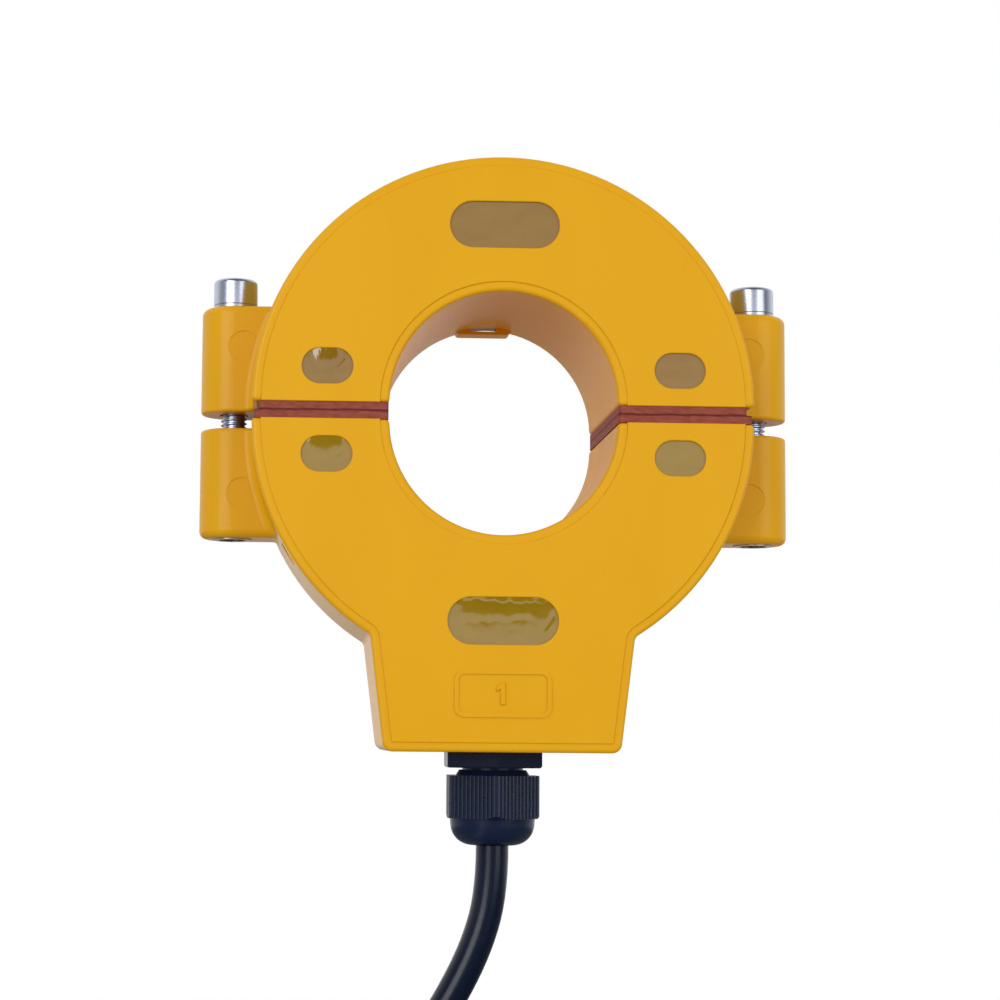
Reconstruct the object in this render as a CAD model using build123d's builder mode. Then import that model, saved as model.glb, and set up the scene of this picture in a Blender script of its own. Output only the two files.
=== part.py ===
"""Split-core current transformer that clamps round a conductor.

The frame has its origin on the split plane of the lower half, at the centre of that half's bore arc and
half way along the bore. +Y runs along the conductor to the back, +Z points away from the wiring box.
"""

import os
from math import cos, pi, radians, sin, tan

from build123d import *

os.makedirs("parts", exist_ok=True)

# Ring and faces
depth = 50.0
bore_r = 25.0
outer_r = 55.0
split_gap = 3.7
border = 2.0
face_step = 0.3
edge_r = 0.9
face_edge_r = 0.2
split_corner_r = 1.0

# Wiring box below the ring, and the raised panel on its front
box_drop = 17.0
box_half = 25.7
box_taper = 7.0
box_neck_r = 1.8
box_corner_r = 2.2
panel_length = 21.0
panel_height = 10.2
panel_corner_r = 2.2
panel_rim = 0.9
panel_proud = 0.3
panel_up = 12.6

# Clamping ears
screw_out = 4.5
boss_r = 7.5
upper_ear_height = 24.3
lower_ear_height = 24.6
ear_end_r = 1.7
ear_split_r = 0.7
ear_root_r = 2.0
mark_r = 3.6
mark_deep = 0.15
mark_in = 2.3
mark_z = 14.8

# Screws, spring washers and threaded inserts
screw_r = 3.0
screw_length = 50.0
screw_point = 0.8
head_r = 5.0
head_height = 6.0
head_edge_r = 0.9
socket_flats = 5.0
socket_deep = 3.0
screw_hole_play = 0.3
washer_inset = 0.05
washer_play = 0.1
washer_thick = 0.8
washer_slit = 0.7
thread_play = 0.06
insert_wall = 1.44
insert_length = 15.0
insert_proud = 0.2
insert_groove = 0.4
insert_groove_width = 2.0

# Film windows in the front face, placed from the middle of the ring's radial width
window_long = 24.1
window_high = 10.3
upper_window_in = 0.3
lower_window_out = 3.7
port_long = 11.2
port_high = 7.8
port_in = 1.4
port_z = 7.8
window_edge_r = 0.3

# Small pocket in the outer wall, and the tie lug at the back of the bore
pocket_angle = 211.6
pocket_long = 5.5
pocket_wide = 9.0
pocket_deep = 1.4
pocket_y = 14.0
lug_x = -1.0
lug_width = 13.0
lug_drop = 1.6
lug_long = 5.0
lug_r = 0.9
lug_slot_width = 6.3
lug_slot_height = 1.1
lug_skin = 0.75

# Walls round the film wrap, and the wrap, winding and core inside it
bore_wall = 3.5
outer_wall = 4.5
face_wall = 1.6
wrap_thick = 3.0
wrap_cover = 3.4
winding_thick = 2.2
winding_start = 6.0

# Gaskets in the split
gasket_bore_inset = 0.2
lower_gasket_inset = 0.5
upper_gasket_inset = 1.6
gasket_face_inset = 0.4
gasket_r = 0.8
pole_play = 0.5

# Wiring chamber, filled with resin round the splices
chamber_side_wall = 6.7
chamber_face_wall = 8.0
chamber_floor = 8.0
wire_r = 0.6
splice_r = 1.7
splice_gap = 0.2
splice_length = 6.0
lead_play = 0.05
cable_core_r = 1.1
cable_core_bare = 2.5
jacket_stub = 2.0

# Cable gland
thread_wall = 3.8
flange_flats = 21.2
flange_height = 3.6
flange_chamfer = 0.4
stem_wall = 1.5
stem_length = 9.0
seal_thick = 1.7
throat_play = 0.5
nut_gap = 0.5
collar_height = 1.2
collar_wall = 0.7
collar_step = 0.8
nut_play = 0.05
nut_flats = 20.2
nut_corner_r = 11.3
nut_bevel_r = 10.4
nut_bevel = 38.0
rib_zone = 9.6
ribs_per_face = 12
rib_size = 0.4
dome_inset = 0.5
dome_draft = 0.5
dome_height = 6.0
dome_edge_r = 4.8
dome_wall = 1.8
mouth_play = 0.3
seal_play = 0.05
seal_length = 8.0

# Lead, coil of the put-away length and bare end
cable_r = 3.7
coil_r = 41.0
coil_x = 12.0
coil_drop = 97.1
strand_ring_r = 9.9
strands = 8
coil_turns = 7.05
coil_start = 172.0
tie_width = 4.8
tie_thick = 1.3
tie_head = 6.0
tie_head_deep = 4.5
tie_play = 0.15
tie_angles = {"coil_tie_upper": 75.0, "coil_tie_lower": 300.0}
tail_core_length = 22.0
tail_core_gap = 0.6
ferrule_collar_r = 1.6
ferrule_collar = 4.5
ferrule_r = 0.9
ferrule_length = 7.0

# Values that follow from the driving dimensions
half_depth = depth / 2
shell_half = half_depth - face_step
ring_middle = (bore_r + outer_r) / 2
wrap_inner = bore_r + bore_wall
wrap_outer = outer_r - outer_wall
wrap_half = half_depth - face_wall
core_inner = wrap_inner + wrap_thick
core_outer = wrap_outer - wrap_thick
core_half = wrap_half - wrap_cover
core_middle = (core_inner + core_outer) / 2
mid_gap = split_gap / 2
box_bottom = outer_r + box_drop
screw_x = outer_r + screw_out
screw_hole_r = screw_r + screw_hole_play
insert_bore_r = screw_r + thread_play
insert_r = insert_bore_r + insert_wall
upper_window_z = ring_middle - upper_window_in
lower_window_z = ring_middle + lower_window_out
port_x = ring_middle - port_in
upper_ear_top = split_gap + upper_ear_height
head_seat = upper_ear_top + washer_thick
washer_r = head_r - washer_inset
chamber_bottom = box_bottom - chamber_floor
chamber_width = 2 * (box_half - chamber_side_wall)
chamber_depth = depth - 2 * chamber_face_wall
wire_x = splice_r + splice_gap / 2
throat_r = cable_r + throat_play
thread_r = throat_r + thread_wall
stem_bore_r = cable_r + seal_thick
stem_r = stem_bore_r + stem_wall
collar_top_r = stem_r + collar_wall
collar_r = collar_top_r + collar_step
dome_r = nut_flats / 2 - dome_inset
flange_bottom = box_bottom + flange_height
collar_top = flange_bottom + nut_gap
rib_top = collar_top + collar_height
rib_bottom = rib_top + rib_zone
mouth_z = rib_bottom + dome_height
coil_z = -mouth_z - coil_drop
tail_core_x = ferrule_collar_r + tail_core_gap / 2
beyond = 4 * box_bottom
near = 0.01
lower_face = Plane((0, 0, 0), x_dir=(1, 0, 0), z_dir=(0, -1, 0))
upper_face = Plane((0, 0, split_gap), x_dir=(1, 0, 0), z_dir=(0, -1, 0))


def finish(part, name):
    """Label a finished piece and write it."""
    part.label = name
    export_step(part, f"parts/{name}.step")


def lower_outline(inset):
    """Ring and wiring box seen along the bore, drawn in by an inset, before the split is cut."""
    slope = tan(radians(box_taper))
    side = box_half - inset / cos(radians(box_taper))
    low = inset - box_bottom
    narrow = side + inset * slope
    wide = side + (box_bottom - ring_middle) * slope
    Circle(outer_r - inset)
    Polygon((-narrow, low), (narrow, low), (wide, -ring_middle), (-wide, -ring_middle), align=None)
    fillet(vertices().filter_by(lambda v: abs(v.Y - low) < near), max(box_corner_r - inset, face_step))
    fillet(vertices().filter_by(lambda v: low + box_corner_r < v.Y < -ring_middle), box_neck_r + inset)
    Circle(bore_r + inset, mode=Mode.SUBTRACT)


def keep_half(side):
    """Cut the sketch at the split line and keep one side of it: 1 above, -1 below."""
    with Locations((0, -side * beyond / 2)):
        Rectangle(beyond, beyond, mode=Mode.SUBTRACT)


def on_split_line(vertex):
    """Whether a sketch's corner lies on its split line."""
    return abs(vertex.Y) < near


def half_ring(inner, outer, side, leg=0.0):
    """Half annulus on one side of the split line, with straight legs that reach past it."""
    middle = (inner + outer) / 2
    Circle(outer)
    Circle(inner, mode=Mode.SUBTRACT)
    keep_half(side)
    if leg:
        with Locations((-middle, -side * leg / 2), (middle, -side * leg / 2)):
            Rectangle(outer - inner, leg)


def ear_pair(low, high, low_r, high_r):
    """Both ears of one half between two heights: round bosses with webs that reach into the ring."""
    with BuildPart() as pair:
        with BuildSketch(Plane.XY.offset(low)):
            for side in (-1, 1):
                with Locations((side * screw_x, 0)):
                    Circle(boss_r)
                with Locations((side * (screw_x + ring_middle) / 2, 0)):
                    Rectangle(screw_x - ring_middle, 2 * boss_r)
        extrude(amount=high - low)
        fillet(faces().filter_by(Axis.Z).filter_by(lambda f: f.center().Z < low + near).edges(), low_r)
        fillet(faces().filter_by(Axis.Z).filter_by(lambda f: f.center().Z > high - near).edges(), high_r)
    return pair.part


def root_edges(pair_low, pair_high):
    """Edges where the ears' flanks run into the ring's outer wall."""
    middle = (pair_low + pair_high) / 2

    def is_root(edge):
        centre = edge.center()
        tall = edge.bounding_box().size.Z > (pair_high - pair_low) / 2
        outside = abs(centre.X) > ring_middle
        return tall and outside and abs(abs(centre.Y) - boss_r) < near and abs(centre.Z - middle) < boss_r

    return edges().filter_by(is_root)


def cut_front_windows(face_plane, large_z, small_z):
    """Stadium windows through the front wall down to the film: one large and two small ones."""
    places = (
        (0, large_z, window_long, window_high),
        (-port_x, small_z, port_long, port_high),
        (port_x, small_z, port_long, port_high),
    )

    def is_rim(edge):
        at = face_plane.to_local_coords(edge.center())
        inside = any(
            abs(at.X - x) < length / 2 + face_step and abs(at.Y - z) < height / 2 + face_step
            for x, z, length, height in places
        )
        return inside and abs(at.Z - half_depth) < near

    with BuildSketch(face_plane.offset(half_depth)) as windows:
        for x, z, length, height in places:
            with Locations((x, z)):
                SlotOverall(length, height)
    extrude(windows.sketch, amount=wrap_half - half_depth, mode=Mode.SUBTRACT)
    fillet(edges().filter_by(is_rim), window_edge_r)


def cut_marks(height):
    """Shallow round ejector marks on the front of both ears."""
    with BuildSketch(Plane.XZ.offset(boss_r)) as marks:
        with Locations((mark_in - screw_x, height), (screw_x - mark_in, height)):
            Circle(mark_r)
    extrude(marks.sketch, amount=-mark_deep, mode=Mode.SUBTRACT)


def cut_wrap_space(face_plane, side):
    """Space of the wrapped core, open at the split."""
    with BuildSketch(face_plane) as space:
        half_ring(wrap_inner, wrap_outer, side)
    extrude(space.sketch, amount=wrap_half, both=True, mode=Mode.SUBTRACT)


def screw_positions():
    return Locations((-screw_x, 0), (screw_x, 0))


# Lower housing
with BuildPart() as lower_housing:
    with BuildSketch(lower_face):
        lower_outline(0)
        keep_half(-1)
        fillet(vertices().filter_by(on_split_line), split_corner_r)
    extrude(amount=shell_half, both=True)
    fillet(faces().sort_by(Axis.Y)[0].edges() + faces().sort_by(Axis.Y)[-1].edges(), edge_r)
    with BuildSketch(lower_face):
        lower_outline(border)
        keep_half(-1)
    extrude(amount=half_depth, both=True)
    fillet(faces().sort_by(Axis.Y)[0].edges() + faces().sort_by(Axis.Y)[-1].edges(), face_edge_r)
    add(ear_pair(-lower_ear_height, 0, ear_end_r, ear_split_r))
    fillet(root_edges(-lower_ear_height, 0), ear_root_r)
    with BuildSketch(lower_face.offset(half_depth)):
        with Locations((0, panel_up - box_bottom)):
            RectangleRounded(panel_length, panel_height, panel_corner_r)
            RectangleRounded(
                panel_length - 2 * panel_rim,
                panel_height - 2 * panel_rim,
                panel_corner_r - panel_rim,
                mode=Mode.SUBTRACT,
            )
    extrude(amount=panel_proud)
    cut_front_windows(lower_face, -lower_window_z, -port_z)
    cut_marks(-mark_z)
    pocket_dir = Vector(cos(radians(pocket_angle)), 0, sin(radians(pocket_angle)))
    pocket_at = pocket_dir * outer_r + Vector(0, -pocket_y, 0)
    with BuildSketch(Plane(pocket_at, x_dir=(0, 1, 0), z_dir=pocket_dir)):
        SlotOverall(pocket_wide, pocket_long)
    extrude(amount=-pocket_deep, mode=Mode.SUBTRACT)
    cut_wrap_space(lower_face, -1)
    with BuildSketch(Plane.XY.offset(-chamber_bottom)):
        Rectangle(chamber_width, chamber_depth)
    extrude(amount=chamber_bottom - core_outer, mode=Mode.SUBTRACT)
    with BuildSketch(Plane.XY.offset(-box_bottom)):
        Circle(thread_r)
    extrude(amount=chamber_floor, mode=Mode.SUBTRACT)
    with BuildSketch(Plane.XY):
        with screw_positions():
            Circle(screw_hole_r)
    extrude(amount=-lower_ear_height, mode=Mode.SUBTRACT)
    with BuildSketch(Plane.XY.offset(-lower_ear_height)):
        with screw_positions():
            Circle(insert_r)
    extrude(amount=insert_length - insert_proud, mode=Mode.SUBTRACT)
finish(lower_housing.part, "lower_housing")

# Upper housing, with the tie lug at the back of its bore
with BuildPart() as upper_housing:
    with BuildSketch(upper_face):
        half_ring(bore_r, outer_r, 1)
        fillet(vertices().filter_by(on_split_line), split_corner_r)
    extrude(amount=shell_half, both=True)
    fillet(faces().sort_by(Axis.Y)[0].edges() + faces().sort_by(Axis.Y)[-1].edges(), edge_r)
    with BuildSketch(upper_face):
        half_ring(bore_r + border, outer_r - border, 1)
    extrude(amount=half_depth, both=True)
    fillet(faces().sort_by(Axis.Y)[0].edges() + faces().sort_by(Axis.Y)[-1].edges(), face_edge_r)
    add(ear_pair(split_gap, upper_ear_top, ear_split_r, ear_end_r))
    fillet(root_edges(split_gap, upper_ear_top), ear_root_r)
    cut_front_windows(upper_face, upper_window_z, port_z)
    cut_marks(split_gap + mark_z)
    with BuildSketch(upper_face.offset(-half_depth)):
        with Locations((lug_x, bore_r)):
            Rectangle(lug_width, 2 * lug_drop)
        fillet(vertices().sort_by(Axis.Y)[:2], lug_r)
        with Locations((lug_x, bore_r - lug_drop + lug_skin + lug_slot_height / 2)):
            Rectangle(lug_slot_width, lug_slot_height, mode=Mode.SUBTRACT)
    extrude(amount=lug_long)
    cut_wrap_space(upper_face, 1)
    with BuildSketch(Plane.XY.offset(split_gap)):
        with screw_positions():
            Circle(screw_hole_r)
    extrude(amount=upper_ear_height, mode=Mode.SUBTRACT)
finish(upper_housing.part, "upper_housing")

# Cores: strip-wound half rings whose pole faces meet in the middle of the split
for name, face_plane, side in (("lower_core", lower_face, -1), ("upper_core", upper_face, 1)):
    with BuildPart() as core:
        with BuildSketch(face_plane):
            half_ring(core_inner, core_outer, side, mid_gap)
        extrude(amount=core_half, both=True)
    finish(core.part, name)

# Secondary winding: a layer of turns round the lower core
with BuildPart() as winding:
    with BuildSketch(lower_face):
        Circle(core_outer + winding_thick)
        Circle(core_inner - winding_thick, mode=Mode.SUBTRACT)
        with Locations((0, beyond / 2 - winding_start)):
            Rectangle(beyond, beyond, mode=Mode.SUBTRACT)
    extrude(amount=core_half + winding_thick, both=True)
    with BuildSketch(lower_face):
        half_ring(core_inner, core_outer, -1)
    extrude(amount=core_half, both=True, mode=Mode.SUBTRACT)
finish(winding.part, "secondary_winding")

# Film wraps: they fill the housings round core and winding, and their front shows in the windows
with BuildPart() as lower_wrap:
    with BuildSketch(lower_face):
        half_ring(wrap_inner, wrap_outer, -1)
    extrude(amount=wrap_half, both=True)
    with BuildSketch(lower_face):
        half_ring(core_inner, core_outer, -1)
    extrude(amount=core_half, both=True, mode=Mode.SUBTRACT)
    add(winding.part, mode=Mode.SUBTRACT)
    with BuildSketch(Plane.XY.offset(-wrap_outer)):
        with Locations((-wire_x, 0), (wire_x, 0)):
            Circle(wire_r)
    extrude(amount=wrap_outer - core_outer, mode=Mode.SUBTRACT)
finish(lower_wrap.part, "lower_core_wrap")

with BuildPart() as upper_wrap:
    with BuildSketch(upper_face):
        half_ring(wrap_inner, wrap_outer, 1)
    extrude(amount=wrap_half, both=True)
    with BuildSketch(upper_face):
        half_ring(core_inner, core_outer, 1)
    extrude(amount=core_half, both=True, mode=Mode.SUBTRACT)
finish(upper_wrap.part, "upper_core_wrap")

# Gaskets: flat frames round the pole faces, one layer on each half
for level, low, outer_inset in (("lower", 0, lower_gasket_inset), ("upper", mid_gap, upper_gasket_inset)):
    for side_name, side in (("left", -1), ("right", 1)):
        inner_x = bore_r + gasket_bore_inset
        outer_x = outer_r - outer_inset
        with BuildPart() as gasket:
            with BuildSketch(Plane.XY.offset(low)):
                with Locations((side * (inner_x + outer_x) / 2, 0)):
                    Rectangle(outer_x - inner_x, depth - 2 * gasket_face_inset)
                fillet(vertices(), gasket_r)
                with Locations((side * core_middle, 0)):
                    Rectangle(
                        core_outer - core_inner + 2 * pole_play,
                        2 * (core_half + pole_play),
                        mode=Mode.SUBTRACT,
                    )
            extrude(amount=mid_gap)
        finish(gasket.part, f"{level}_gasket_{side_name}")

# Screws, spring washers and inserts, one of each on both sides
for side_name, side in (("left", -1), ("right", 1)):
    with BuildPart() as screw:
        with Locations((side * screw_x, 0, head_seat - screw_length)):
            Cylinder(screw_r, screw_length, align=(Align.CENTER, Align.CENTER, Align.MIN))
        chamfer(faces().sort_by(Axis.Z)[0].edges(), screw_point)
        with Locations((side * screw_x, 0, head_seat)):
            Cylinder(head_r, head_height, align=(Align.CENTER, Align.CENTER, Align.MIN))
        fillet(faces().sort_by(Axis.Z)[-1].edges(), head_edge_r)
        with BuildSketch(Plane.XY.offset(head_seat + head_height)):
            with Locations((side * screw_x, 0)):
                RegularPolygon(socket_flats / 2, 6, major_radius=False)
        extrude(amount=-socket_deep, mode=Mode.SUBTRACT)
    finish(screw.part, f"{side_name}_screw")

    with BuildPart() as washer:
        with BuildSketch(Plane.XY.offset(upper_ear_top)):
            with Locations((side * screw_x, 0)):
                Circle(washer_r)
                Circle(screw_r + washer_play, mode=Mode.SUBTRACT)
            with Locations((side * screw_x, washer_r)):
                Rectangle(washer_slit, 2 * (washer_r - screw_r), mode=Mode.SUBTRACT)
        extrude(amount=washer_thick)
    finish(washer.part, f"{side_name}_spring_washer")

    insert_low = -lower_ear_height - insert_proud
    with BuildPart() as insert:
        with BuildSketch(Plane.XZ):
            with Locations((side * screw_x, insert_low + insert_length / 2)):
                Rectangle(2 * insert_r, insert_length)
                Rectangle(2 * insert_bore_r, insert_length, mode=Mode.SUBTRACT)
            with Locations((side * screw_x - insert_r, insert_low + insert_length / 2)):
                Rectangle(2 * insert_groove, insert_groove_width, mode=Mode.SUBTRACT)
            with Locations((side * screw_x + insert_r / 2, insert_low + insert_length / 2)):
                Rectangle(insert_r, insert_length, mode=Mode.SUBTRACT)
        revolve(axis=Axis((side * screw_x, 0, 0), (0, 0, 1)))
    finish(insert.part, f"{side_name}_insert")

# Cable gland: body with hexagon flange and hollow stem
with BuildPart() as gland_body:
    with BuildSketch(Plane.XY.offset(-flange_bottom)):
        RegularPolygon(flange_flats / 2, 6, major_radius=False, rotation=30)
    extrude(amount=flange_height)
    chamfer(faces().sort_by(Axis.Z)[0].edges(), flange_chamfer)
    with Locations((0, 0, -box_bottom)):
        Cylinder(thread_r, chamber_floor, align=(Align.CENTER, Align.CENTER, Align.MIN))
    with Locations((0, 0, -flange_bottom)):
        Cylinder(stem_r, stem_length, align=(Align.CENTER, Align.CENTER, Align.MAX))
    with Locations((0, 0, -flange_bottom - stem_length)):
        Cylinder(stem_bore_r, seal_length, align=(Align.CENTER, Align.CENTER, Align.MIN), mode=Mode.SUBTRACT)
    with Locations((0, 0, -flange_bottom - stem_length)):
        Cylinder(
            throat_r,
            stem_length + flange_height + chamber_floor,
            align=(Align.CENTER, Align.CENTER, Align.MIN),
            mode=Mode.SUBTRACT,
        )
finish(gland_body.part, "gland_body")

# Rubber seal that the nut presses round the cable
with BuildPart() as gland_seal:
    with Locations((0, 0, -flange_bottom - stem_length)):
        Cylinder(stem_bore_r, seal_length, align=(Align.CENTER, Align.CENTER, Align.MIN))
        Cylinder(
            cable_r + seal_play,
            seal_length,
            align=(Align.CENTER, Align.CENTER, Align.MIN),
            mode=Mode.SUBTRACT,
        )
finish(gland_seal.part, "gland_seal")

# Ribbed dome nut
with BuildPart() as gland_nut:
    with BuildSketch(Plane.XY.offset(-rib_bottom)):
        RegularPolygon(nut_flats / 2, 6, major_radius=False, rotation=30)
        Circle(nut_corner_r, mode=Mode.INTERSECT)
        with PolarLocations(nut_flats / 2, 6):
            with GridLocations(0, nut_flats * tan(radians(30)) / ribs_per_face, 1, ribs_per_face):
                Rectangle(rib_size, rib_size, rotation=45, mode=Mode.SUBTRACT)
    extrude(amount=rib_zone)
    with Locations((0, 0, -rib_bottom)):
        Cone(
            nut_bevel_r,
            nut_bevel_r + rib_zone / tan(radians(nut_bevel)),
            rib_zone,
            align=(Align.CENTER, Align.CENTER, Align.MIN),
            mode=Mode.INTERSECT,
        )
    with BuildSketch(Plane.XZ):
        with BuildLine():
            Polyline(
                (0, -collar_top),
                (collar_top_r, -collar_top),
                (collar_r, -rib_top),
                (collar_r, -rib_bottom),
                (dome_r, -rib_bottom),
                (dome_r - dome_draft, -mouth_z),
                (0, -mouth_z),
                close=True,
            )
        make_face()
        fillet(vertices().group_by(Axis.Y)[0].sort_by(Axis.X)[-1], dome_edge_r)
    revolve(axis=Axis.Z)
    with Locations((0, 0, -collar_top)):
        Cylinder(
            stem_r + nut_play,
            mouth_z - collar_top - dome_wall - (stem_r - stem_bore_r),
            align=(Align.CENTER, Align.CENTER, Align.MAX),
            mode=Mode.SUBTRACT,
        )
    with Locations((0, 0, -collar_top)):
        Cylinder(
            cable_r + mouth_play,
            mouth_z - collar_top,
            align=(Align.CENTER, Align.CENTER, Align.MAX),
            mode=Mode.SUBTRACT,
        )
finish(gland_nut.part, "gland_nut")

# Wiring: leads of the winding, splices, the cable's cores and its jacket inside the gland
lead_top = core_outer + winding_thick + lead_play
core_top = chamber_bottom - jacket_stub - cable_core_bare
splice_top = core_top - splice_length
for number, side in ((1, -1), (2, 1)):
    with BuildPart() as lead:
        with Locations((side * wire_x, 0, -splice_top)):
            Cylinder(wire_r, splice_top - lead_top, align=(Align.CENTER, Align.CENTER, Align.MIN))
    finish(lead.part, f"winding_lead_{number}")
    with BuildPart() as splice:
        with Locations((side * wire_x, 0, -core_top)):
            Cylinder(splice_r, splice_length, align=(Align.CENTER, Align.CENTER, Align.MIN))
    finish(splice.part, f"splice_sleeve_{number}")
    with BuildPart() as cable_core:
        with Locations((side * wire_x, 0, jacket_stub - chamber_bottom)):
            Cylinder(cable_core_r, cable_core_bare, align=(Align.CENTER, Align.CENTER, Align.MIN))
    finish(cable_core.part, f"cable_core_{number}")

with BuildPart() as cable_entry:
    with Locations((0, 0, jacket_stub - chamber_bottom)):
        Cylinder(
            cable_r,
            mouth_z - chamber_bottom + jacket_stub,
            align=(Align.CENTER, Align.CENTER, Align.MAX),
        )
finish(cable_entry.part, "cable_entry")

with BuildPart() as chamber_potting:
    with BuildSketch(Plane.XY.offset(-chamber_bottom)):
        Rectangle(chamber_width, chamber_depth)
    extrude(amount=chamber_bottom - core_outer)
    with BuildSketch(lower_face):
        Circle(wrap_outer)
    extrude(amount=wrap_half, both=True, mode=Mode.SUBTRACT)
    with Locations((0, 0, -chamber_bottom)):
        Cylinder(cable_r, jacket_stub, align=(Align.CENTER, Align.CENTER, Align.MIN), mode=Mode.SUBTRACT)
    for side in (-1, 1):
        for radius, low, high in (
            (cable_core_r, chamber_bottom - jacket_stub, core_top),
            (splice_r, core_top, splice_top),
            (wire_r, splice_top, core_outer),
        ):
            with Locations((side * wire_x, 0, -low)):
                Cylinder(
                    radius,
                    low - high,
                    align=(Align.CENTER, Align.CENTER, Align.MIN),
                    mode=Mode.SUBTRACT,
                )
finish(chamber_potting.part, "chamber_potting")


def on_coil(turns):
    """Centre of the lead's strand after some turns of the coil, counted from where the lead joins it."""
    angle = radians(coil_start + 360 * turns)
    strand = radians(360 / strands * turns)
    reach = coil_r + strand_ring_r * cos(strand)
    return (coil_x + reach * cos(angle), strand_ring_r * sin(strand), coil_z + reach * sin(angle))


def tube(points, radius):
    """Round tube along straight runs joined by arcs as large as the runs allow."""
    runs = [Vector(b) - Vector(a) for a, b in zip(points, points[1:])]
    radii = []
    for before, after in zip(runs, runs[1:]):
        turn = radians(before.get_angle(after))
        radii.append(0.45 * min(before.length, after.length) / tan(turn / 2))
    print("cord radii", [round(r, 1) for r in radii])
    with BuildPart() as cord:
        with BuildLine() as path:
            FilletPolyline(*points, radius=radii)
        with BuildSketch(path.line ^ 0):
            Circle(radius)
        sweep()
    length = path.wires()[0].length
    print("cord length", round(length, 1))
    print("cord volume over section times length", round(cord.part.volume / (length * pi * radius**2), 4))
    return cord.part


# Lead from the gland's mouth to the coil: to the side of the mouth and down from it
lead_places = [
    (0.0, 0.0),
    (0.0, 9.9),
    (-3.2, 22.3),
    (-9.8, 35.3),
    (-18.9, 49.3),
    (-27.4, 63.7),
    (-34.2, 77.5),
]
lead_route = [(x, 0, -mouth_z - drop) for x, drop in lead_places] + [on_coil(0)]
finish(tube(lead_route, cable_r), "lead_cable")

# Free end: steps from where the lead leaves the coil
leave = Vector(on_coil(coil_turns))
tail_steps = [(0.0, 0.0, 0.0), (1.5, -1.5, -10.6), (2.3, -2.7, -21.6), (2.3, -2.7, -32.6)]
tail_route = [leave + Vector(step) for step in tail_steps]
finish(tube(tail_route, cable_r), "cable_tail")

with BuildPart() as cable_coil:
    with Locations(Plane((coil_x, 0, coil_z), x_dir=(1, 0, 0), z_dir=(0, -1, 0))):
        Torus(coil_r, strand_ring_r + cable_r)
finish(cable_coil.part, "cable_coil")

# Ties: straps round the coil's bundle, each with its head in front
strap_inner = strand_ring_r + cable_r + tie_play
for name, angle in tie_angles.items():
    outward = Vector(cos(radians(angle)), 0, sin(radians(angle)))
    along = Vector(-sin(radians(angle)), 0, cos(radians(angle)))
    across = Plane(Vector(coil_x, 0, coil_z) + outward * coil_r, x_dir=outward, z_dir=along)
    with BuildPart() as tie:
        with BuildSketch(across):
            Circle(strap_inner + tie_thick)
            Circle(strap_inner, mode=Mode.SUBTRACT)
        extrude(amount=tie_width / 2, both=True)
        with BuildSketch(across):
            with Locations((0, -strap_inner - (tie_thick + tie_head_deep) / 2)):
                Rectangle(tie_head, tie_head_deep)
        extrude(amount=tie_head / 2, both=True)
    finish(tie.part, name)

# Bare end of the lead: two cores with crimped ferrules
end_x, end_y, end_z = tail_route[-1].to_tuple()
for number, side in ((1, -1), (2, 1)):
    with BuildPart() as tail_core:
        with Locations((end_x + side * tail_core_x, end_y, end_z)):
            Cylinder(cable_core_r, tail_core_length, align=(Align.CENTER, Align.CENTER, Align.MAX))
    finish(tail_core.part, f"tail_core_{number}")
    with BuildPart() as ferrule:
        with Locations((end_x + side * tail_core_x, end_y, end_z - tail_core_length)):
            Cylinder(ferrule_collar_r, ferrule_collar, align=(Align.CENTER, Align.CENTER, Align.MAX))
        with Locations((end_x + side * tail_core_x, end_y, end_z - tail_core_length - ferrule_collar)):
            Cylinder(ferrule_r, ferrule_length, align=(Align.CENTER, Align.CENTER, Align.MAX))
    finish(ferrule.part, f"ferrule_{number}")
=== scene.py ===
"""Looks of the split-core current transformer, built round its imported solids. Lengths are in metres."""

from math import cos, exp, pi, radians, sin

import bmesh
import bpy
from mathutils import Matrix, Vector, noise


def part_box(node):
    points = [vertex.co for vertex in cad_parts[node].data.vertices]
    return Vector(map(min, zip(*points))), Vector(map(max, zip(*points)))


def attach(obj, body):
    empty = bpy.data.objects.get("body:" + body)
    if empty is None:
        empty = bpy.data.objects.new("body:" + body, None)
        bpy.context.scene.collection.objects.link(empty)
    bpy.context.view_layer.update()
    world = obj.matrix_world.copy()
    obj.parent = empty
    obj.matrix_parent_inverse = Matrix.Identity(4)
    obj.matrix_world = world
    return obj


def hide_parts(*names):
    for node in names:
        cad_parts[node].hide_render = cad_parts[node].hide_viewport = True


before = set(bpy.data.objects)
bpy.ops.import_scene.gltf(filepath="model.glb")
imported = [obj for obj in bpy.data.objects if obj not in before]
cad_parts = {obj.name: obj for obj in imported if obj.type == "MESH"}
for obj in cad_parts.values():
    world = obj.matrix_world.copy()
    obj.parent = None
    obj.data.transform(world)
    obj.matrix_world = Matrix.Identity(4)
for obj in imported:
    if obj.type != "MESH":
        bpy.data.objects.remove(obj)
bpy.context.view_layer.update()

MM = 0.001

# Camera, fitted to the photograph, which was cut off-centre from a larger frame. Angles are in radians.
CAMERA_AT = Vector((-44.07, -500.0, -68.66)) * MM
CAMERA_YAW = 0.0383
CAMERA_PITCH = 0.0885
CAMERA_ROLL = 0.0092
CAMERA_LENS = 79.45
CAMERA_SHIFT = (0.1155, 0.04)
CAMERA_RANGE = (0.01, 50.0)
SENSOR = 36.0

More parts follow.
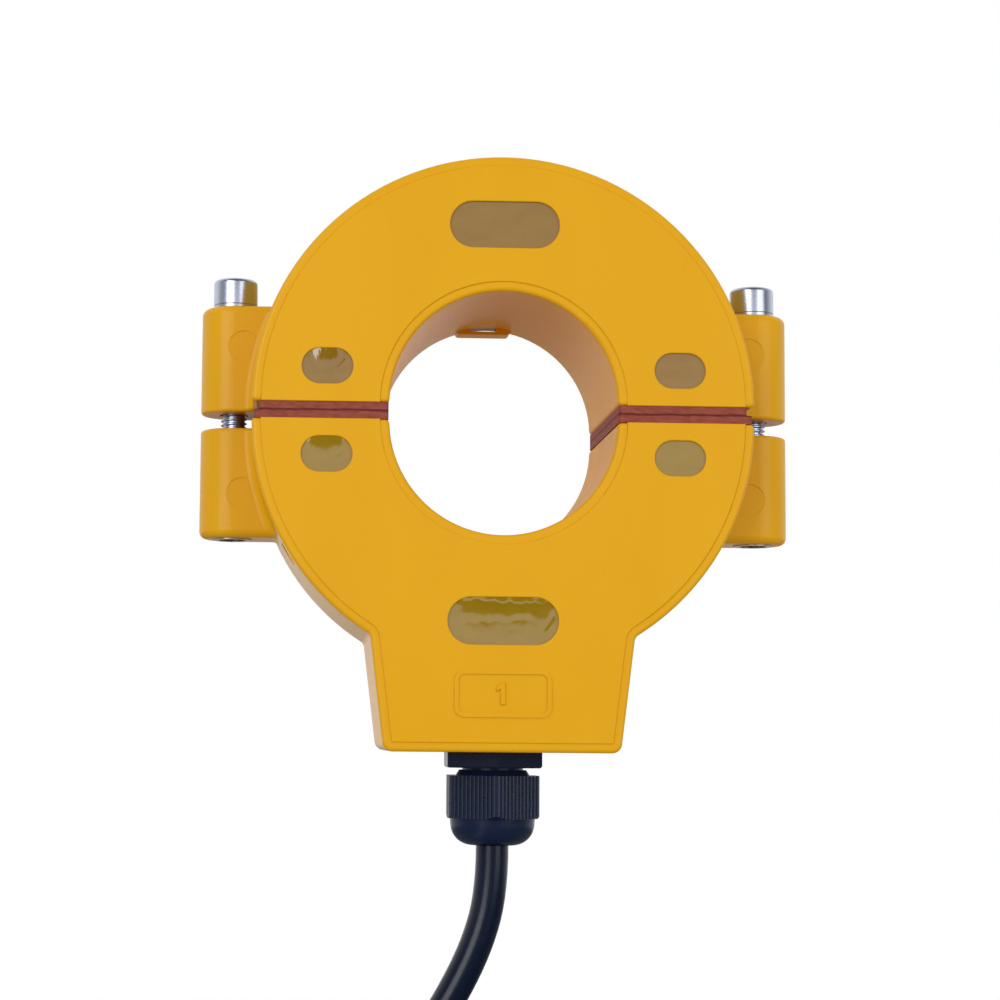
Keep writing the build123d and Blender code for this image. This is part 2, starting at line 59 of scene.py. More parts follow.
# Sizes repeated from the part's source
HALF_DEPTH = 25.0 * MM
BORE_R = 25.0 * MM
FACE_WALL = 1.6 * MM
SPLIT_GAP = 3.7 * MM
PANEL_Z = -59.4 * MM
WINDOW_LONG = 24.1 * MM
WINDOW_HIGH = 10.3 * MM
UPPER_WINDOW_Z = 39.7 * MM
LOWER_WINDOW_Z = -43.7 * MM
PORT_LONG = 11.2 * MM
PORT_HIGH = 7.8 * MM
PORT_X = 38.6 * MM
PORT_UP = 7.8 * MM
SCREW_X = 59.5 * MM
SCREW_R = 3.0 * MM
SCREW_LENGTH = 50.0 * MM
SCREW_POINT = 0.8 * MM
HEAD_SEAT = 28.8 * MM
HEAD_R = 5.0 * MM
HEAD_HEIGHT = 6.0 * MM
HEAD_EDGE_R = 0.9 * MM
SOCKET_FLATS = 5.0 * MM
SOCKET_DEEP = 3.0 * MM
CABLE_R = 3.7 * MM
MOUTH_Z = -92.9 * MM

# The lead's route, also from the source: places below the gland's mouth, then the coil and the tail
LEAD_PLACES_MM = [
    (0.0, 0.0),
    (0.0, 9.9),
    (-3.2, 22.3),
    (-9.8, 35.3),
    (-18.9, 49.3),
    (-27.4, 63.7),
    (-34.2, 77.5),
]
COIL_X = 12.0 * MM
COIL_DROP = 97.1 * MM
COIL_R = 41.0 * MM
COIL_TURNS = 7.05
COIL_START_DEGREES = 172.0
STRAND_RING_R = 9.9 * MM
STRANDS = 8
TAIL_STEPS_MM = [(1.5, -1.5, -10.6), (2.3, -2.7, -21.6), (2.3, -2.7, -32.6)]


def linear(red, green, blue):
    """Linear colour, with alpha, from display values of 0 to 255."""
    values = []
    for value in (red, green, blue):
        share = value / 255
        values.append(share / 12.92 if share <= 0.04045 else ((share + 0.055) / 1.055) ** 2.4)
    return (*values, 1.0)


def darker(tint, share):
    """A tint with its colour lowered to a share."""
    return [share * part for part in tint[:3]] + [1.0]


def link(thing):
    """Put an object into the scene."""
    bpy.context.scene.collection.objects.link(thing)
    return thing


# Materials
MIX_INPUTS = (0, 6, 7)
MIX_RESULT = 2
MOST_NOISE = (0.3, 0.7)
BORE_ZONE = (BORE_R + 0.8 * MM, BORE_R + 4.5 * MM)
BORE_ROUGHER = 0.16
SEAM_WANDER = 0.5 * MM
SEAM_EDGE = (0.08 * MM, 0.3 * MM)
# How strongly painted shade darkens the gasket's seam
SEAM_SHADE_SHARE = 0.75
CORE_LAYER = 0.3 * MM
WINDING_RIDGES = 360.0
FERRULE_TUBE = 7.0 * MM
FERRULE_EDGE = 0.1 * MM
TIE_TOOTH = 1.1 * MM


class Nodes:
    """Short names for adding and joining the nodes of one material or world."""

    def __init__(self, tree):
        self.tree = tree
        tree.nodes.clear()

    def feed(self, socket, value):
        """Join a node's output to a socket, or set the socket to a plain value."""
        if isinstance(value, bpy.types.NodeSocket):
            self.tree.links.new(value, socket)
        else:
            socket.default_value = value

    def add(self, kind, **inputs):
        """New node, with its named sockets joined or set."""
        node = self.tree.nodes.new(kind)
        for name, value in inputs.items():
            self.feed(node.inputs[name.replace("_", " ")], value)
        return node

    def math(self, operation, *values):
        """Result of one math node."""
        node = self.tree.nodes.new("ShaderNodeMath")
        node.operation = operation
        for socket, value in zip(node.inputs, values):
            self.feed(socket, value)
        return node.outputs[0]

    def product(self, first, *others):
        """All the values multiplied."""
        for other in others:
            first = self.math("MULTIPLY", first, other)
        return first

    def blend(self, share, first, second):
        """Colour between two others, by a share of 0 to 1."""
        node = self.tree.nodes.new("ShaderNodeMix")
        node.data_type = "RGBA"
        for place, value in zip(MIX_INPUTS, (share, first, second)):
            self.feed(node.inputs[place], value)
        return node.outputs[MIX_RESULT]

    def place(self):
        """Object coordinates, in metres."""
        return self.add("ShaderNodeTexCoord").outputs["Object"]

    def apart(self, vector):
        """The outputs X, Y and Z of a vector."""
        return self.add("ShaderNodeSeparateXYZ", Vector=vector).outputs

    def distance(self, first, second):
        """Distance from an axis, by the two coordinates across it."""
        squares = self.math("ADD", self.product(first, first), self.product(second, second))
        return self.math("SQRT", squares)

    def radius(self):
        """Distance from the ring's own axis, in metres."""
        place = self.apart(self.place())
        return self.distance(place["X"], place["Z"])

    def grain(self, size, detail=2.0, stretch=(1.0, 1.0, 1.0)):
        """Noise between 0 and 1 whose spots are about this size."""
        scaled = self.add("ShaderNodeMapping", Vector=self.place(), Scale=stretch)
        spots = self.add(
            "ShaderNodeTexNoise",
            Vector=scaled.outputs[0],
            Scale=1 / size,
            Detail=detail,
            Roughness=0.55,
        )
        return spots.outputs["Fac"]

    def span(self, value, source, target=(0, 1)):
        """Map a value from one range to another, held at both ends."""
        node = self.add(
            "ShaderNodeMapRange",
            Value=value,
            From_Min=source[0],
            From_Max=source[1],
            To_Min=target[0],
            To_Max=target[1],
        )
        return node.outputs[0]

    def relief(self, height, depth, over=None):
        """Bump this deep from a height of 0 to 1, on top of another bump if one is given."""
        node = self.add("ShaderNodeBump", Height=height, Strength=1.0, Distance=depth)
        if over is not None:
            self.feed(node.inputs["Normal"], over)
        return node.outputs[0]

    def surface(self, **inputs):
        """Principled surface to the material's output."""
        shader = self.add("ShaderNodeBsdfPrincipled", **inputs)
        self.add("ShaderNodeOutputMaterial", Surface=shader.outputs[0])


def slot_nodes(slot):
    """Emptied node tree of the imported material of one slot."""
    material = bpy.data.materials[slot]
    material.use_nodes = True
    return Nodes(material.node_tree)


def paint_housing():
    """Satin yellow-orange moulding with a spark texture and faint flow marks, rougher near the bore."""
    n = slot_nodes("housing")
    flow = n.grain(14 * MM, detail=3.0, stretch=(1.0, 1.0, 0.35))
    texture = n.relief(n.grain(0.45 * MM, detail=3.0), depth=0.009 * MM)
    polish = n.span(n.grain(1.5 * MM), MOST_NOISE, (0.28, 0.35))
    coarse = n.span(n.radius(), BORE_ZONE, (BORE_ROUGHER, 0))
    n.surface(
        Base_Color=n.blend(n.span(flow, (0.35, 0.65)), linear(228, 168, 12), linear(226, 165, 8)),
        Roughness=n.math("ADD", polish, coarse),
        Specular_IOR_Level=0.22,
        Normal=n.relief(n.grain(6 * MM, detail=1.0), depth=0.03 * MM, over=texture),
    )


def paint_gasket():
    """Red-brown porous rubber, cut in long streaks, with painted shade as a dark line where the two
    layers meet, over a shallow bump groove.
    """
    n = slot_nodes("gasket")
    pores = n.grain(0.6 * MM, detail=4.0, stretch=(0.3, 0.3, 1.0))
    shade = n.blend(n.span(pores, (0.35, 0.7)), linear(136, 62, 48), linear(156, 80, 66))
    wave = n.math("MULTIPLY_ADD", n.grain(4 * MM), SEAM_WANDER, SPLIT_GAP / 2 - SEAM_WANDER / 2)
    away = n.math("ABSOLUTE", n.math("SUBTRACT", n.apart(n.place())["Z"], wave))
    # Painted shade: the seam between the two layers is darkened in colour, and also pressed in as a
    # shallow bump
    seam_groove_and_shade = n.span(away, SEAM_EDGE, (1, 0))
    n.surface(
        Base_Color=n.blend(n.product(seam_groove_and_shade, SEAM_SHADE_SHARE), shade, linear(72, 22, 16)),
        Roughness=0.65,
        Specular_IOR_Level=0.2,
        Normal=n.relief(n.math("SUBTRACT", pores, seam_groove_and_shade), depth=0.12 * MM),
    )


def paint_film():
    """Glossy amber film over the wrapped core; the lower half's is lighter and greener."""
    n = slot_nodes("film")
    cloud = n.span(n.grain(3 * MM, detail=3.0, stretch=(0.6, 1.0, 1.0)), MOST_NOISE)
    upper_shade = n.blend(cloud, linear(138, 100, 4), linear(144, 106, 8))
    lower_shade = n.blend(cloud, linear(146, 114, 3), linear(152, 120, 6))
    in_upper_half = n.span(n.apart(n.place())["Z"], (0, SPLIT_GAP))
    n.surface(
        Base_Color=n.blend(in_upper_half, lower_shade, upper_shade),
        Roughness=0.12,
        IOR=1.55,
        Coat_Weight=1.0,
        Coat_Roughness=0.05,
        Normal=n.relief(n.grain(0.7 * MM), depth=0.006 * MM),
    )


def paint_metal(slot, tint, roughness, brush):
    """Plated metal, brushed by the lathe."""
    n = slot_nodes(slot)
    lines = n.grain(0.4 * MM, detail=3.0, stretch=brush)
    n.surface(
        Base_Color=n.blend(n.span(lines, MOST_NOISE), tint, darker(tint, 0.9)),
        Metallic=1.0,
        Roughness=n.span(lines, MOST_NOISE, (0.8 * roughness, 1.2 * roughness)),
        Normal=n.relief(lines, depth=0.004 * MM),
    )


def paint_plastic(slot, tint, roughness, grain=0.8 * MM, depth=0.01 * MM, gloss=0.45):
    """Plain moulded plastic, rubber or resin with a fine surface grain."""
    n = slot_nodes(slot)
    spots = n.grain(grain, detail=3.0)
    n.surface(
        Base_Color=tint,
        Roughness=n.span(spots, MOST_NOISE, (0.85 * roughness, 1.15 * roughness)),
        Specular_IOR_Level=gloss,
        Normal=n.relief(spots, depth=depth),
    )


def paint_core():
    """Strip-wound core: thin layers of steel that show as rings round the bore."""
    n = slot_nodes("core_steel")
    layer = n.math("FRACT", n.math("DIVIDE", n.radius(), CORE_LAYER))
    edge = n.span(layer, (0, 0.25))
    n.surface(
        Base_Color=n.blend(edge, linear(96, 98, 104), linear(168, 170, 174)),
        Metallic=1.0,
        Roughness=0.34,
        Normal=n.relief(edge, depth=0.01 * MM),
    )


def paint_winding():
    """Enamelled copper wire in close turns round the core."""
    n = slot_nodes("winding_wire")
    place = n.apart(n.place())
    angle = n.math("ARCTAN2", place["Z"], place["X"])
    n.surface(
        Base_Color=linear(178, 92, 46),
        Metallic=1.0,
        Roughness=0.3,
        Coat_Weight=0.6,
        Normal=n.relief(n.math("SINE", n.product(angle, WINDING_RIDGES)), depth=0.1 * MM),
    )


def paint_ferrules():
    """Tinned tubes with white plastic collars above them."""
    n = slot_nodes("ferrule")
    top = min(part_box(name)[0].z for name in ("ferrule_1", "ferrule_2")) + FERRULE_TUBE
    collar = n.span(n.apart(n.place())["Z"], (top - FERRULE_EDGE, top + FERRULE_EDGE))
    n.surface(
        Base_Color=n.blend(collar, linear(196, 197, 196), linear(215, 214, 208)),
        Metallic=n.math("SUBTRACT", 1.0, collar),
        Roughness=0.32,
    )


def paint_ties():
    """Black nylon straps with a row of fine teeth."""
    n = slot_nodes("tie")
    teeth = n.math("SINE", n.product(n.apart(n.place())["Y"], 2 * pi / TIE_TOOTH))
    n.surface(
        Base_Color=linear(30, 31, 34),
        Roughness=0.38,
        Normal=n.relief(teeth, depth=0.08 * MM),
    )


def paint_all():
    """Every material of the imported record."""
    paint_housing()
    paint_gasket()
    paint_film()
    paint_metal("screw_steel", linear(192, 199, 217), 0.28, brush=(1.0, 1.0, 6.0))
    paint_metal("washer_steel", linear(196, 198, 206), 0.28, brush=(1.0, 1.0, 4.0))
    paint_metal("insert_metal", linear(188, 182, 172), 0.3, brush=(1.0, 1.0, 4.0))
    paint_plastic("gland", linear(23, 34, 60), 0.28, depth=0.008 * MM, gloss=0.24)
    paint_plastic("seal", linear(24, 24, 26), 0.6)
    paint_plastic("splice", linear(28, 28, 30), 0.5)
    paint_plastic("core_insulation_1", linear(176, 30, 28), 0.4, grain=1.5 * MM)
    paint_plastic("core_insulation_2", linear(24, 25, 27), 0.4, grain=1.5 * MM)
    paint_plastic("cable_jacket", linear(13, 23, 44), 0.22, grain=1.2 * MM, depth=0.008 * MM, gloss=0.3)
    paint_plastic("potting", linear(52, 44, 36), 0.25, grain=4 * MM, depth=0.03 * MM)
    paint_core()
    paint_winding()
    paint_ferrules()
    paint_ties()


# Meshes
def finished(name, work, slot, body, sharp=35):
    """Object of a finished mesh in one slot's material, riding on one body."""
    mesh = bpy.data.meshes.new(name)
    bmesh.ops.recalc_face_normals(work, faces=work.faces)
    work.to_mesh(mesh)
    work.free()
    mesh.shade_smooth()
    mesh.set_sharp_from_angle(angle=radians(sharp))
    mesh.materials.append(bpy.data.materials[slot])
    thing = link(bpy.data.objects.new(name, mesh))
    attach(thing, body)
    return thing


def ring(work, points):
    """Vertices at a list of points."""
    return [work.verts.new(point) for point in points]


def bridge(work, first, second):
    """Band of faces between two closed rows of as many vertices."""
    for here in range(len(first)):
        there = (here + 1) % len(first)
        work.faces.new((first[here], first[there], second[there], second[here]))


def lay_rings(work, rows):
    """Closed surface through rows of points, with both ends filled."""
    rings = [ring(work, points) for points in rows]
    for first, second in zip(rings, rings[1:]):
        bridge(work, first, second)
    work.faces.new(rings[0])
    work.faces.new(rings[-1])


# Socket-head screws with a real thread
HEAD_SEGMENTS = 96
HEAD_EDGE_STEPS = 8
HEAD_FOOT_EDGE = 0.2 * MM
SOCKET_MOUTH = 0.55 * MM
SOCKET_CHAMFER = 0.25 * MM
SOCKET_LEDGE = 0.1 * MM
SOCKET_CONE = 1.2 * MM
SOCKET_TIP_R = 0.05 * MM
SHANK_IN_HEAD = 0.3 * MM
THREAD_SEGMENTS = 40
THREAD_PITCH = 1.0 * MM
THREAD_DEPTH = 0.541 * MM
THREAD_SPARE_TURNS = 2
THREAD_START = -SCREW_LENGTH - THREAD_SPARE_TURNS * THREAD_PITCH
THREAD_LEAST_R = 1.0 * MM

# Corners of the thread's profile: share of the pitch, and share of the depth
THREAD_PROFILE = [(0.0, 0.0), (0.125, 0.0), (0.4375, 1.0), (0.6875, 1.0)]


def circle(radius, height):
    """Points of a level circle round the Z axis."""
    turns = [2 * pi * step / HEAD_SEGMENTS for step in range(HEAD_SEGMENTS)]
    return [Vector((radius * cos(turn), radius * sin(turn), height)) for turn in turns]


def hexagon(flats, height):
    """Points of a level hexagon round the Z axis, as many as a circle has."""
    points = []
    for step in range(HEAD_SEGMENTS):
        turn = 2 * pi * step / HEAD_SEGMENTS
        reach = flats / 2 / cos((turn + pi / 6) % (pi / 3) - pi / 6)
        points.append(Vector((reach * cos(turn), reach * sin(turn), height)))
    return points


def head_rows():
    """Rows of the head from its seat over the rounded edge and down into the socket."""
    rows = [circle(HEAD_R - HEAD_FOOT_EDGE, 0), circle(HEAD_R, HEAD_FOOT_EDGE)]
    for step in range(HEAD_EDGE_STEPS + 1):
        turn = pi / 2 * step / HEAD_EDGE_STEPS
        reach = HEAD_R - HEAD_EDGE_R + HEAD_EDGE_R * cos(turn)
        rows.append(circle(reach, HEAD_HEIGHT - HEAD_EDGE_R + HEAD_EDGE_R * sin(turn)))
    rows.append(circle(SOCKET_FLATS / 2 + SOCKET_MOUTH, HEAD_HEIGHT))
    rows.append(hexagon(SOCKET_FLATS, HEAD_HEIGHT - SOCKET_CHAMFER))
    rows.append(hexagon(SOCKET_FLATS, HEAD_HEIGHT - SOCKET_DEEP))
    rows.append(circle(SOCKET_FLATS / 2 - SOCKET_LEDGE, HEAD_HEIGHT - SOCKET_DEEP))
    rows.append(circle(SOCKET_TIP_R, HEAD_HEIGHT - SOCKET_DEEP - SOCKET_CONE))
    return rows


def thread_row(work, turns, deep):
    """Vertices of one turn, which starts some turns up the thread, tapered at the screw's point."""
    row = []
    for step in range(THREAD_SEGMENTS):
        around = step / THREAD_SEGMENTS
        height = THREAD_START + THREAD_PITCH * (turns + around)
        point_r = max(SCREW_R - SCREW_POINT + height + SCREW_LENGTH, THREAD_LEAST_R)
        reach = min(SCREW_R - deep * THREAD_DEPTH, point_r)
        angle = 2 * pi * around
        row.append(work.verts.new((reach * cos(angle), reach * sin(angle), height)))
    return row


def join_thread(work, rows):
    """Faces between the thread's rows, and from the end of each turn to the start of the next."""
    for first, second in zip(rows, rows[1:]):
        for step in range(THREAD_SEGMENTS - 1):
            work.faces.new((first[step], first[step + 1], second[step + 1], second[step]))
    per_turn = len(THREAD_PROFILE)
    for low in range(len(rows) - per_turn - 1):
        last, after = rows[low][-1], rows[low + 1][-1]
        next_low, next_after = rows[low + per_turn][0], rows[low + per_turn + 1][0]
        work.faces.new((last, next_low, next_after, after))


def cut_level(work, height, normal):
    """Cut the thread off at a height, on the side that the normal points to, and fill the end."""
    everything = work.verts[:] + work.edges[:] + work.faces[:]
    cut = bmesh.ops.bisect_plane(
        work, geom=everything, plane_co=(0, 0, height), plane_no=normal, clear_outer=True
    )
    edges = [item for item in cut["geom_cut"] if isinstance(item, bmesh.types.BMEdge)]
    bmesh.ops.holes_fill(work, edges=edges)


def thread(work):
    """Threaded shank from the tip's chamfer to inside the head, as one helical surface."""
    rows = []
    for turn in range(int(SCREW_LENGTH / THREAD_PITCH) + 2 * THREAD_SPARE_TURNS):
        for phase, deep in THREAD_PROFILE:
            rows.append(thread_row(work, turn + phase, deep))
    join_thread(work, rows)
    cut_level(work, -SCREW_LENGTH, (0, 0, -1))
    cut_level(work, SHANK_IN_HEAD, (0, 0, 1))


def make_screw(side_name, side):
    """One socket-head cap screw in its ear."""
    work = bmesh.new()
    thread(work)
    lay_rings(work, head_rows())
    bmesh.ops.translate(work, verts=work.verts, vec=(side * SCREW_X, 0, HEAD_SEAT))
    screw = finished(f"{side_name}_cap_screw", work, "screw_steel", f"{side_name}_screw")
    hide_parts(f"{side_name}_screw")


# Film in the windows, wrinkled over the core
FILM_LIFT = 1.0 * MM
FILM_EDGE = 0.02 * MM
FILM_RINGS = 34
FILM_STEPS = 192
FILM_WELD = 0.0005 * MM
SOFT_LONG_MM = 3.0
SOFT_HIGH_MM = 2.0
SOFT_RISE_MM = 0.025
SOFT_APART = 7.3

# Waves of a fold's line: how many to a millimetre, their row in the noise, and their share
FOLD_WAVES = [(0.5, 5.3, 1.0), (1.6, 2.1, 0.35), (4.1, 2.9, 0.12)]


class Fold:
    """A fold in the film: its middle, angle in degrees, and length, width, height and wander in mm."""

    def __init__(self, x, z, angle, length, width, height, wander):
        self.middle = Vector((x, z))
        self.along = Vector((cos(radians(angle)), sin(radians(angle))))
        self.length = length
        self.width = width
        self.height = height
        self.wander = wander

    def rise(self, place):
        """Height of the fold at a place in its window, both in mm."""
        away = place - self.middle
        along = away.dot(self.along)
        across = self.along.x * away.y - self.along.y * away.x
        wave = 0.0
        for rate, row, share in FOLD_WAVES:
            wave += share * noise.noise(Vector((rate * along, row, self.width)))
        across += self.wander * wave
        fall_across = exp(-(abs(across / self.width) ** 1.6))
        fall_along = exp(-((2 * along / self.length) ** 4))
        return self.height * fall_across * fall_along


class Window:
    """A window in one body, with its middle and size, and the folds of its film."""

    def __init__(self, name, body, x, z, long, high, folds):
        self.name = name
        self.body = body
        self.x = x
        self.z = z
        self.long = long
        self.high = high
        self.folds = folds


WINDOWS = [
    Window("film_upper", "upper_half", 0, SPLIT_GAP + UPPER_WINDOW_Z, WINDOW_LONG, WINDOW_HIGH, []),
    Window(
        "film_lower", "lower_half", 0, LOWER_WINDOW_Z, WINDOW_LONG, WINDOW_HIGH,
        [
            Fold(0.8, 5.4, 0, 21, 2.6, 0.45, 1.3),
            Fold(-0.5, 4.0, -2, 19, 0.4, 0.09, 0.9),
            Fold(-2.0, -0.2, 3, 17, 1.1, 0.05, 0.5),
            Fold(10.2, 0.2, 58, 5, 0.5, 0.06, 0.2),
        ],
    ),
    Window(
        "film_upper_left", "upper_half", -PORT_X, SPLIT_GAP + PORT_UP, PORT_LONG, PORT_HIGH,
        [
            Fold(0.2, 4.7, 4, 5.8, 2.7, 0.5, 1.5),
            Fold(2.9, 1.0, 50, 5, 0.4, 0.07, 0.1),
            Fold(-4.0, 0.6, -62, 5, 0.6, 0.05, 0.2),
            Fold(0, -1.6, 1, 8, 0.6, 0.04, 0.2),
        ],
    ),
    Window(
        "film_upper_right", "upper_half", PORT_X, SPLIT_GAP + PORT_UP, PORT_LONG, PORT_HIGH,
        [Fold(2.6, 0, 70, 9, 1.6, 0.04, 0.2)],
    ),
    Window(
        "film_lower_left", "lower_half", -PORT_X, -PORT_UP, PORT_LONG, PORT_HIGH,
        [Fold(-0.4, 4.6, -3, 8.0, 2.4, 0.5, 1.4), Fold(2.8, 0.2, 20, 5, 0.7, 0.03, 0.3)],
    ),
    Window(
        "film_lower_right", "lower_half", PORT_X, -PORT_UP, PORT_LONG, PORT_HIGH,
        [Fold(0, -2.6, -6, 8, 0.9, 0.03, 0.3)],
    ),
]


def film_height(window, x, z):
    """How far the film stands in front of the flat wrap, at a place in mm."""
    own_row = SOFT_APART * window.x / MM + window.z / MM
    soft = noise.noise(Vector((x / SOFT_LONG_MM, z / SOFT_HIGH_MM, own_row)))
    place = Vector((x, z))
    return FILM_LIFT + (SOFT_RISE_MM * soft + sum(fold.rise(place) for fold in window.folds)) * MM


def stadium(straight, radius, share):
    """Place on the middle line, and direction out from it, at a share of the way round a stadium."""
    cap = pi * radius
    half = cap + 2 * straight
    way = 2 * half * share
    side = 1 if way < half else -1
    way %= half
    if way < cap:
        turn = way / radius - pi / 2
        return side * straight, side * cos(turn), side * sin(turn)
    return side * (straight - way + cap), 0.0, side


def make_film(window):
    """Film patch of one window: rings that follow its stadium outline from the middle line out."""
    work = bmesh.new()
    straight = (window.long - window.high) / 2
    radius = window.high / 2 - FILM_EDGE
    rows = []
    for level in range(FILM_RINGS + 1):
        reach = radius * level / FILM_RINGS
        row = []
        for step in range(FILM_STEPS):
            middle, out_x, out_z = stadium(straight, radius, step / FILM_STEPS)
            x = middle + reach * out_x
            z = reach * out_z
            lift = film_height(window, x / MM, z / MM)
            row.append((window.x + x, FACE_WALL - HALF_DEPTH - lift, window.z + z))
        rows.append(ring(work, row))
    for first, second in zip(rows, rows[1:]):
        bridge(work, first, second)
    bmesh.ops.remove_doubles(work, verts=work.verts, dist=FILM_WELD)
    finished(window.name, work, "film", window.body, sharp=180)


# Raised numeral in the panel on the wiring box
NUMERAL_MM = [(-0.55, 0), (0.55, 0), (0.55, 4.8), (-0.1, 4.8), (-1.45, 3.9), (-1.45, 2.8), (-0.55, 3.4)]
NUMERAL_HIGH = 4.8 * MM
NUMERAL_PROUD = 0.4 * MM
NUMERAL_ROOT = 0.05 * MM
NUMERAL_BEVEL = 0.18 * MM


def make_numeral():
    """A plain 1 in the panel, with bevelled edges."""
    work = bmesh.new()
    low = PANEL_Z - NUMERAL_HIGH / 2
    base = ring(work, [(x * MM, -HALF_DEPTH + NUMERAL_ROOT, low + z * MM) for x, z in NUMERAL_MM])
    face = work.faces.new(base)
    top = bmesh.ops.extrude_face_region(work, geom=[face])["geom"]
    raised = [item for item in top if isinstance(item, bmesh.types.BMVert)]
    bmesh.ops.translate(work, verts=raised, vec=(0, NUMERAL_BEVEL - NUMERAL_PROUD - NUMERAL_ROOT, 0))
    lid = [item for item in top if isinstance(item, bmesh.types.BMFace)]
    bmesh.ops.recalc_face_normals(work, faces=work.faces)
    bmesh.ops.inset_region(work, faces=lid, thickness=NUMERAL_BEVEL, depth=NUMERAL_BEVEL)
    finished("panel_numeral", work, "housing", "lower_half")


# Lead
POINTS_PER_TURN = 24


def on_coil(turns):
    """Centre of the lead's strand after some turns of the coil, as in the part's source."""
    angle = radians(COIL_START_DEGREES + 360 * turns)
    strand = radians(360 / STRANDS * turns)
    reach = COIL_R + STRAND_RING_R * cos(strand)
    return Vector(
        (
            COIL_X + reach * cos(angle),
            STRAND_RING_R * sin(strand),
            MOUTH_Z - COIL_DROP + reach * sin(angle),
        )
    )


def lead_points():
    """Route of the whole lead: out of the gland, round the coil and down to its bare end."""
    points = [Vector((x * MM, 0, MOUTH_Z - drop * MM)) for x, drop in LEAD_PLACES_MM]
    steps = int(COIL_TURNS * POINTS_PER_TURN)
    points += [on_coil(COIL_TURNS * step / steps) for step in range(steps + 1)]
    leave = on_coil(COIL_TURNS)
    points += [leave + Vector(step) * MM for step in TAIL_STEPS_MM]
    return points


def make_lead():
    """The lead as one smooth round cord."""
    line = bpy.data.curves.new("lead", "CURVE")
    line.dimensions = "3D"
    line.bevel_depth = CABLE_R
    line.bevel_resolution = 8
    line.resolution_u = 6
    line.use_fill_caps = True
    points = lead_points()
    spline = line.splines.new("NURBS")
    spline.points.add(len(points) - 1)
    for place, point in zip(spline.points, points):
        place.co = (*point, 1.0)
    spline.order_u = 3
    spline.use_endpoint_u = True
    line.materials.append(bpy.data.materials["cable_jacket"])
    lead = link(bpy.data.objects.new("lead", line))
    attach(lead, "lower_half")
    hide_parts("lead_cable", "cable_coil", "cable_tail")


# Studio
FLOOR_Z = -0.2665
FLOOR_R = 1.2
FLOOR_SOLID_R = 0.35 * FLOOR_R
FLOOR_SHADE = 0.85
AMBIENT = 0.58
AMBIENT_BELOW = 0.8
AMBIENT_Z = (-0.6, 0.3)
LAMP_SIZE = 0.9
LAMPS_POINT_AT = Vector((0, 0, -0.01))
KEY_AT = Vector((-0.75, -1.25, 0.3))
KEY_POWER = 8.5
FILL_AT = Vector((0.9, -1.1, 0.2))
FILL_POWER = 5.0

# Bright zones that gloss sees, by direction. Each pair named for an axis is where the zone fades.
BEHIND_Y = (-0.5, 0.4)
BEHIND_FOOT_Z = (-0.2, -0.1)
BEHIND_FOOT = 0.2
FRONT_Y = (-0.1, 0.0)
WALL_FOOT_Z = (-0.03, 0.01)
WALL_TOP_Z = (0.3, 0.36)
WALL_LEFT_X = (-0.5, -0.4)
WALL_LEFT = 0.45
WALL_RIGHT_X = (0.5, 0.65)
WALL_SHADE_Z = (0.12, 0.22)
WALL_SHADE = (0.95, 0.77)
SIDE_WINDOW_LEFT_X = (-0.64, -0.58)
SIDE_WINDOW_RIGHT_X = (-0.46, -0.4)
SIDE_WINDOW = 0.8
ROOM_DARK = 0.05


def make_floor():
    """Pale disc under the hanging coil, which fades into the background towards its rim."""
    work = bmesh.new()
    bmesh.ops.create_circle(work, cap_ends=True, radius=FLOOR_R, segments=128)
    mesh = bpy.data.meshes.new("floor")
    work.to_mesh(mesh)
    work.free()
    floor = link(bpy.data.objects.new("floor", mesh))
    floor.location.z = FLOOR_Z
    material = bpy.data.materials.new("floor")
    material.use_nodes = True
    n = Nodes(material.node_tree)
    place = n.apart(n.place())
    n.surface(
        Base_Color=(FLOOR_SHADE, FLOOR_SHADE, FLOOR_SHADE, 1.0),
        Roughness=0.8,
        Specular_IOR_Level=0.2,
        Alpha=n.span(n.distance(place["X"], place["Y"]), (FLOOR_SOLID_R, FLOOR_R), (1, 0)),
    )
    mesh.materials.append(material)
    floor.visible_diffuse = False
    floor.visible_glossy = False


def make_lamp(name, place, power):
    """Square soft light aimed at the object."""
    light = bpy.data.lights.new(name, "AREA")
    light.size = LAMP_SIZE
    light.energy = power
    holder = link(bpy.data.objects.new(name, light))
    holder.location = place
    holder.rotation_euler = (LAMPS_POINT_AT - place).to_track_quat("-Z", "Y").to_euler()


def reflected_room(n, x, y, z):
    """What gloss sees: pale at the back, a wide bright wall in front and a narrow window beside it."""
    behind = n.product(n.span(y, BEHIND_Y), n.span(z, BEHIND_FOOT_Z, (BEHIND_FOOT, 1)))
    in_front = n.span(y, FRONT_Y, (1, 0))
    from_left = n.span(x, WALL_LEFT_X, (WALL_LEFT, 1))
    wall_across = n.product(from_left, n.span(x, WALL_RIGHT_X, (1, 0)), in_front)
    wall = n.product(n.span(z, WALL_FOOT_Z), n.span(z, WALL_TOP_Z, (1, 0)), wall_across)
    front = n.math("MULTIPLY_ADD", wall, n.span(z, WALL_SHADE_Z, WALL_SHADE), ROOM_DARK)
    to_right = n.span(x, SIDE_WINDOW_RIGHT_X, (SIDE_WINDOW, 0))
    side_window = n.product(n.span(x, SIDE_WINDOW_LEFT_X), to_right, in_front)
    return n.math("MAXIMUM", n.math("MAXIMUM", behind, front), side_window)


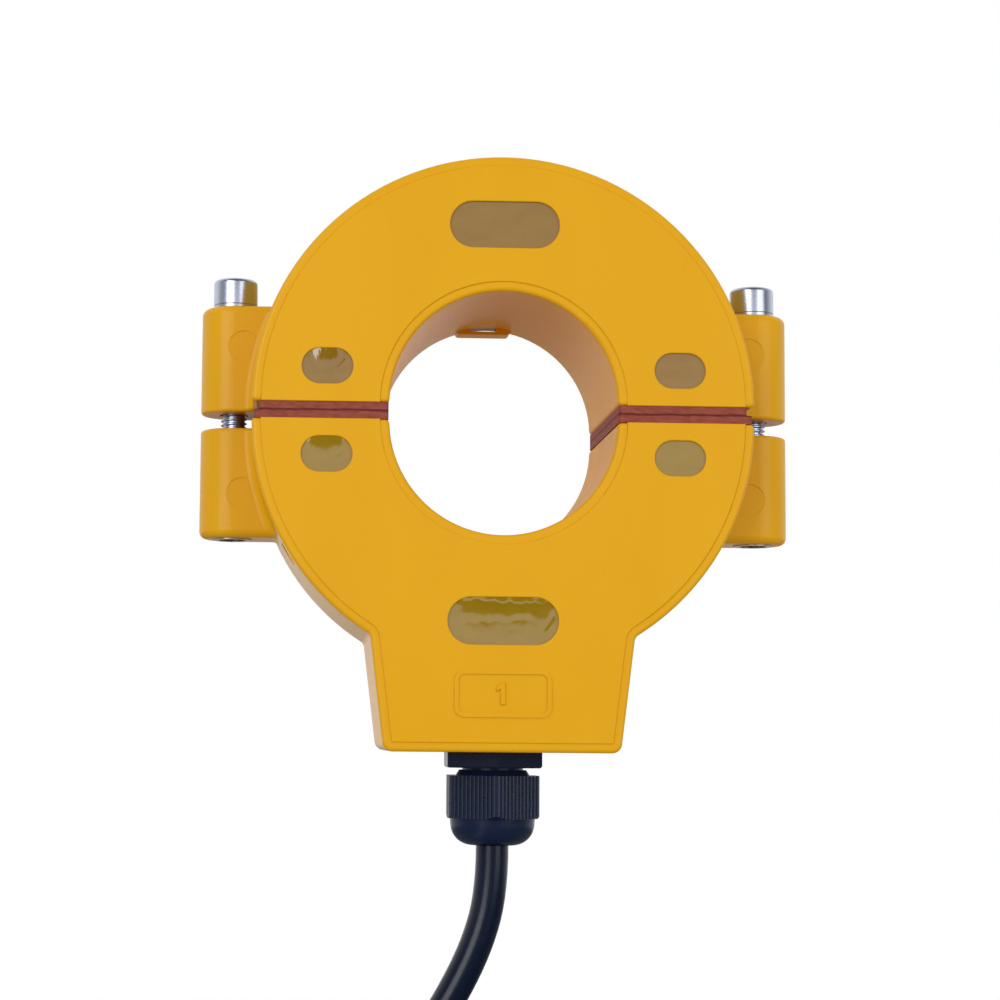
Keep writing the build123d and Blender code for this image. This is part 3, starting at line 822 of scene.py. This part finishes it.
def make_world():
    """White for the camera, the reflected room for gloss, and an even, dimmer light for all else."""
    world = bpy.data.worlds.new("studio")
    world.use_nodes = True
    bpy.context.scene.world = world
    n = Nodes(world.node_tree)
    path = n.add("ShaderNodeLightPath").outputs
    x, y, z = n.apart(n.add("ShaderNodeTexCoord").outputs["Generated"])
    glossy = n.product(path["Is Glossy Ray"], reflected_room(n, x, y, z))
    white = n.math("MAXIMUM", path["Is Camera Ray"], path["Is Transmission Ray"])
    seen = n.math("MAXIMUM", white, glossy)
    others = n.math("SUBTRACT", 1.0, n.math("MAXIMUM", path["Is Camera Ray"], path["Is Glossy Ray"]))
    ambient = n.product(others, n.span(z, AMBIENT_Z, (AMBIENT_BELOW * AMBIENT, AMBIENT)))
    strength = n.math("MAXIMUM", seen, ambient)
    background = n.add("ShaderNodeBackground", Color=(1, 1, 1, 1), Strength=strength)
    n.add("ShaderNodeOutputWorld", Surface=background.outputs[0])


def set_camera():
    """Camera at the photograph's viewpoint, looking slightly up and to the right."""
    forward = Vector(
        (
            sin(CAMERA_YAW) * cos(CAMERA_PITCH),
            cos(CAMERA_YAW) * cos(CAMERA_PITCH),
            sin(CAMERA_PITCH),
        )
    )
    right = Vector((cos(CAMERA_YAW), -sin(CAMERA_YAW), 0))
    up = right.cross(forward)
    tilted_right = cos(CAMERA_ROLL) * right + sin(CAMERA_ROLL) * up
    tilted_up = cos(CAMERA_ROLL) * up - sin(CAMERA_ROLL) * right
    lens = bpy.data.cameras.new("camera")
    lens.lens = CAMERA_LENS
    lens.sensor_width = SENSOR
    lens.shift_x, lens.shift_y = CAMERA_SHIFT
    lens.clip_start, lens.clip_end = CAMERA_RANGE
    camera = link(bpy.data.objects.new("camera", lens))
    turn = Matrix((tilted_right, tilted_up, -forward)).transposed()
    camera.matrix_world = Matrix.Translation(CAMERA_AT) @ turn.to_4x4()
    bpy.context.scene.camera = camera


# Making
paint_all()
make_screw("left", -1)
make_screw("right", 1)
for window in WINDOWS:
    make_film(window)
make_numeral()
make_lead()
make_floor()
make_lamp("key", KEY_AT, KEY_POWER)
make_lamp("fill", FILL_AT, FILL_POWER)
make_world()
set_camera()
bpy.context.scene.view_settings.view_transform = "Standard"
